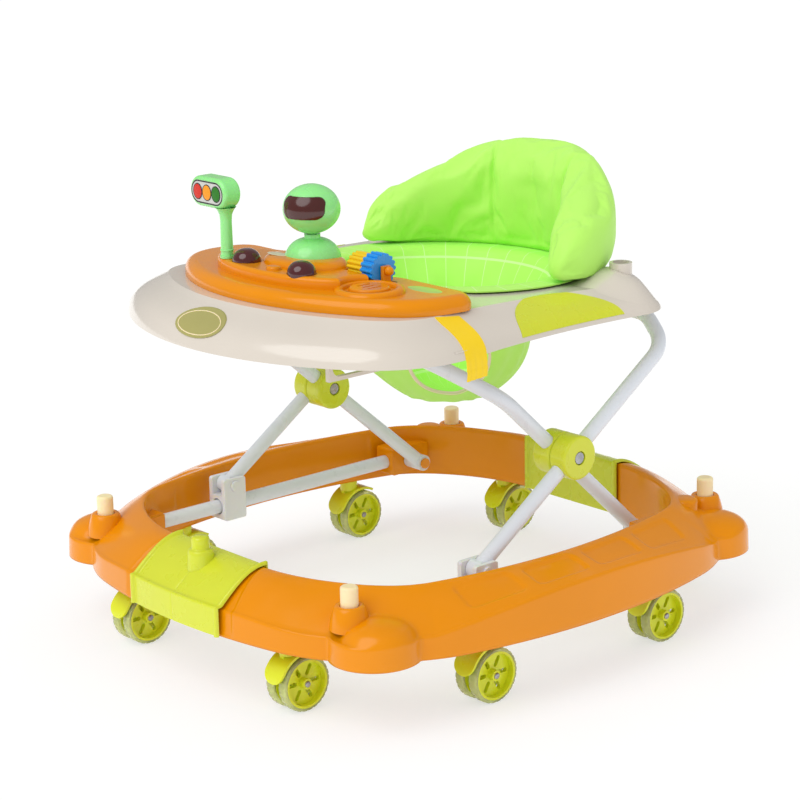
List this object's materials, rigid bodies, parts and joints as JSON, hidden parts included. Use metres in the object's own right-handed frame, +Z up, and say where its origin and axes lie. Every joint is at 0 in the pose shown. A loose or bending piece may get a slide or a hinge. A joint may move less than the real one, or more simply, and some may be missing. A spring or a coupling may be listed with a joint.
{
  "type": "baby walker",
  "caption": "Folding baby walker: wheeled ring base, crossed tube legs, tray with a toy panel, and a cloth seat with a padded back.",
  "frame": {"origin": "on the floor under the middle of the bounding box", "axes": "+Z up, the front with the toy panel faces -Y, the child's left is +X"},
  "size_m": [0.6478, 0.684, 0.5335],
  "materials": {
    "ring_plastic": "moulded, glossy",
    "lime_plastic": "moulded, slightly translucent",
    "wheel_plastic": "moulded, slightly translucent",
    "tyre_rubber": "clear, soft",
    "peg_plastic": "satin",
    "tube_paint": "powder coat",
    "milky_plastic": "milky",
    "bolt_steel": "plated",
    "tray_plastic": "moulded, glossy",
    "badge_plate": "satin",
    "strap_webbing": "woven, smooth",
    "seat_cloth": "smooth woven cloth",
    "toy_green": "moulded, glossy",
    "signal_plate": "satin",
    "visor_plastic": "glossy",
    "dome_plastic": "glossy, translucent",
    "spinner_blue": "moulded",
    "spinner_yellow": "moulded",
    "module_plastic": "moulded"
  },
  "bodies": {
    "base": {"base_left_half": "ring_plastic", "base_right_half": "ring_plastic", "front_coupler": "lime_plastic", "rear_coupler": "lime_plastic", "guide_rails": "tube_paint", "pivot_brackets": "ring_plastic", "corner_peg_front_left": "peg_plastic", "corner_peg_front_right": "peg_plastic", "corner_peg_rear_left": "peg_plastic", "corner_peg_rear_right": "peg_plastic"},
    "front_frame": {"front_leg_frame": "tube_paint", "hub_cups": "lime_plastic", "hub_bolts": "bolt_steel"},
    "rear_frame": {"rear_leg_frame": "tube_paint", "hub_caps": "lime_plastic"},
    "sliders": {"rail_sliders": "milky_plastic"},
    "tray": {"tray_shell": "tray_plastic", "tray_side_inserts": "lime_plastic", "tray_badge": "badge_plate", "tray_strap": "strap_webbing", "front_tracks": "tray_plastic", "rear_pivot_clips": "tray_plastic", "seat_back": "seat_cloth", "seat_sling": "seat_cloth", "toy_panel": "ring_plastic", "sound_module": "module_plastic", "figure_body": "toy_green"},
    "signal": {"signal_post": "toy_green", "signal_face": "signal_plate"},
    "figure_head": {"figure_head": "toy_green", "figure_visor": "visor_plastic"},
    "spinner": {"spinner_wheel": "spinner_blue", "spinner_drum": "spinner_yellow"},
    "music_button": {"music_button": "ring_plastic"},
    "dome_button_left": {"dome_button_left": "dome_plastic"},
    "dome_button_right": {"dome_button_right": "dome_plastic"},
    "front_left_swivel": {"front_left_caster_yoke": "wheel_plastic"},
    "front_left_wheel": {"front_left_caster_wheels": "wheel_plastic", "front_left_caster_tyres": "tyre_rubber"},
    "front_right_swivel": {"front_right_caster_yoke": "wheel_plastic"},
    "front_right_wheel": {"front_right_caster_wheels": "wheel_plastic", "front_right_caster_tyres": "tyre_rubber"},
    "side_front_left_swivel": {"side_front_left_caster_yoke": "wheel_plastic"},
    "side_front_left_wheel": {"side_front_left_caster_wheels": "wheel_plastic", "side_front_left_caster_tyres": "tyre_rubber"},
    "side_front_right_swivel": {"side_front_right_caster_yoke": "wheel_plastic"},
    "side_front_right_wheel": {"side_front_right_caster_wheels": "wheel_plastic", "side_front_right_caster_tyres": "tyre_rubber"},
    "side_rear_left_swivel": {"side_rear_left_caster_yoke": "wheel_plastic"},
    "side_rear_left_wheel": {"side_rear_left_caster_wheels": "wheel_plastic", "side_rear_left_caster_tyres": "tyre_rubber"},
    "side_rear_right_swivel": {"side_rear_right_caster_yoke": "wheel_plastic"},
    "side_rear_right_wheel": {"side_rear_right_caster_wheels": "wheel_plastic", "side_rear_right_caster_tyres": "tyre_rubber"},
    "rear_left_swivel": {"rear_left_caster_yoke": "wheel_plastic"},
    "rear_left_wheel": {"rear_left_caster_wheels": "wheel_plastic", "rear_left_caster_tyres": "tyre_rubber"},
    "rear_right_swivel": {"rear_right_caster_yoke": "wheel_plastic"},
    "rear_right_wheel": {"rear_right_caster_wheels": "wheel_plastic", "rear_right_caster_tyres": "tyre_rubber"}
  },
  "joints": [
    {"name": "fold", "type": "hinge", "parent": "base", "child": "front_frame", "pos_m": [0, 0.187, 0.105], "axis": [1, 0, 0], "range_deg": [0, 30]},
    {"name": "frame_cross", "type": "hinge", "parent": "front_frame", "child": "rear_frame", "pos_m": [0, 0.0495, 0.227], "axis": [1, 0, 0], "range_deg": [-60, 0]},
    {"name": "slider_turn", "type": "hinge", "parent": "rear_frame", "child": "sliders", "pos_m": [0, -0.093, 0.1295], "axis": [1, 0, 0], "range_deg": [0, 30]},
    {"name": "tray_turn", "type": "hinge", "parent": "rear_frame", "child": "tray", "pos_m": [0, 0.207, 0.356], "axis": [1, 0, 0], "range_deg": [0, 30]},
    {"name": "signal_turn", "type": "hinge", "parent": "tray", "child": "signal", "pos_m": [-0.075, -0.19, 0.45], "axis": [0, 0, 1], "range_deg": [-90, 90]},
    {"name": "head_turn", "type": "hinge", "parent": "tray", "child": "figure_head", "pos_m": [0, -0.129, 0.5], "axis": [0, 0, 1], "continuous": true},
    {"name": "spinner_spin", "type": "hinge", "parent": "tray", "child": "spinner", "pos_m": [0.09, -0.112, 0.444], "axis": [1, 0, 0], "continuous": true},
    {"name": "music_press", "type": "slide", "parent": "tray", "child": "music_button", "axis": [0, 0, -1], "range_m": [0, 0.003], "stiffness_N_per_m": 400, "springref_m": -0.004},
    {"name": "dome_left_press", "type": "slide", "parent": "tray", "child": "dome_button_left", "axis": [0, 0, -1], "range_m": [0, 0.004], "stiffness_N_per_m": 300, "springref_m": -0.004},
    {"name": "dome_right_press", "type": "slide", "parent": "tray", "child": "dome_button_right", "axis": [0, 0, -1], "range_m": [0, 0.004], "stiffness_N_per_m": 300, "springref_m": -0.004},
    {"name": "front_left_swivel", "type": "hinge", "parent": "base", "child": "front_left_swivel", "pos_m": [0.142, -0.292, 0.08], "axis": [0, 0, 1], "continuous": true},
    {"name": "front_left_roll", "type": "hinge", "parent": "front_left_swivel", "child": "front_left_wheel", "pos_m": [0.142, -0.2815, 0.031], "axis": [1, 0, 0], "continuous": true},
    {"name": "front_right_swivel", "type": "hinge", "parent": "base", "child": "front_right_swivel", "pos_m": [-0.142, -0.292, 0.08], "axis": [0, 0, 1], "continuous": true},
    {"name": "front_right_roll", "type": "hinge", "parent": "front_right_swivel", "child": "front_right_wheel", "pos_m": [-0.142, -0.2815, 0.031], "axis": [1, 0, 0], "continuous": true},
    {"name": "side_front_left_swivel", "type": "hinge", "parent": "base", "child": "side_front_left_swivel", "pos_m": [0.264, -0.132, 0.08], "axis": [0, 0, 1], "continuous": true},
    {"name": "side_front_left_roll", "type": "hinge", "parent": "side_front_left_swivel", "child": "side_front_left_wheel", "pos_m": [0.264, -0.1215, 0.031], "axis": [1, 0, 0], "continuous": true},
    {"name": "side_front_right_swivel", "type": "hinge", "parent": "base", "child": "side_front_right_swivel", "pos_m": [-0.264, -0.132, 0.08], "axis": [0, 0, 1], "continuous": true},
    {"name": "side_front_right_roll", "type": "hinge", "parent": "side_front_right_swivel", "child": "side_front_right_wheel", "pos_m": [-0.264, -0.1215, 0.031], "axis": [1, 0, 0], "continuous": true},
    {"name": "side_rear_left_swivel", "type": "hinge", "parent": "base", "child": "side_rear_left_swivel", "pos_m": [0.264, 0.132, 0.08], "axis": [0, 0, 1], "continuous": true},
    {"name": "side_rear_left_roll", "type": "hinge", "parent": "side_rear_left_swivel", "child": "side_rear_left_wheel", "pos_m": [0.264, 0.1425, 0.031], "axis": [1, 0, 0], "continuous": true},
    {"name": "side_rear_right_swivel", "type": "hinge", "parent": "base", "child": "side_rear_right_swivel", "pos_m": [-0.264, 0.132, 0.08], "axis": [0, 0, 1], "continuous": true},
    {"name": "side_rear_right_roll", "type": "hinge", "parent": "side_rear_right_swivel", "child": "side_rear_right_wheel", "pos_m": [-0.264, 0.1425, 0.031], "axis": [1, 0, 0], "continuous": true},
    {"name": "rear_left_swivel", "type": "hinge", "parent": "base", "child": "rear_left_swivel", "pos_m": [0.142, 0.292, 0.08], "axis": [0, 0, 1], "continuous": true},
    {"name": "rear_left_roll", "type": "hinge", "parent": "rear_left_swivel", "child": "rear_left_wheel", "pos_m": [0.142, 0.3025, 0.031], "axis": [1, 0, 0], "continuous": true},
    {"name": "rear_right_swivel", "type": "hinge", "parent": "base", "child": "rear_right_swivel", "pos_m": [-0.142, 0.292, 0.08], "axis": [0, 0, 1], "continuous": true},
    {"name": "rear_right_roll", "type": "hinge", "parent": "rear_right_swivel", "child": "rear_right_wheel", "pos_m": [-0.142, 0.3025, 0.031], "axis": [1, 0, 0], "continuous": true}
  ],
  "couplings": [
    {"joint": "frame_cross", "follows": "fold", "ratio": -2},
    {"joint": "slider_turn", "follows": "fold", "ratio": 1},
    {"joint": "tray_turn", "follows": "fold", "ratio": 1}
  ]
}
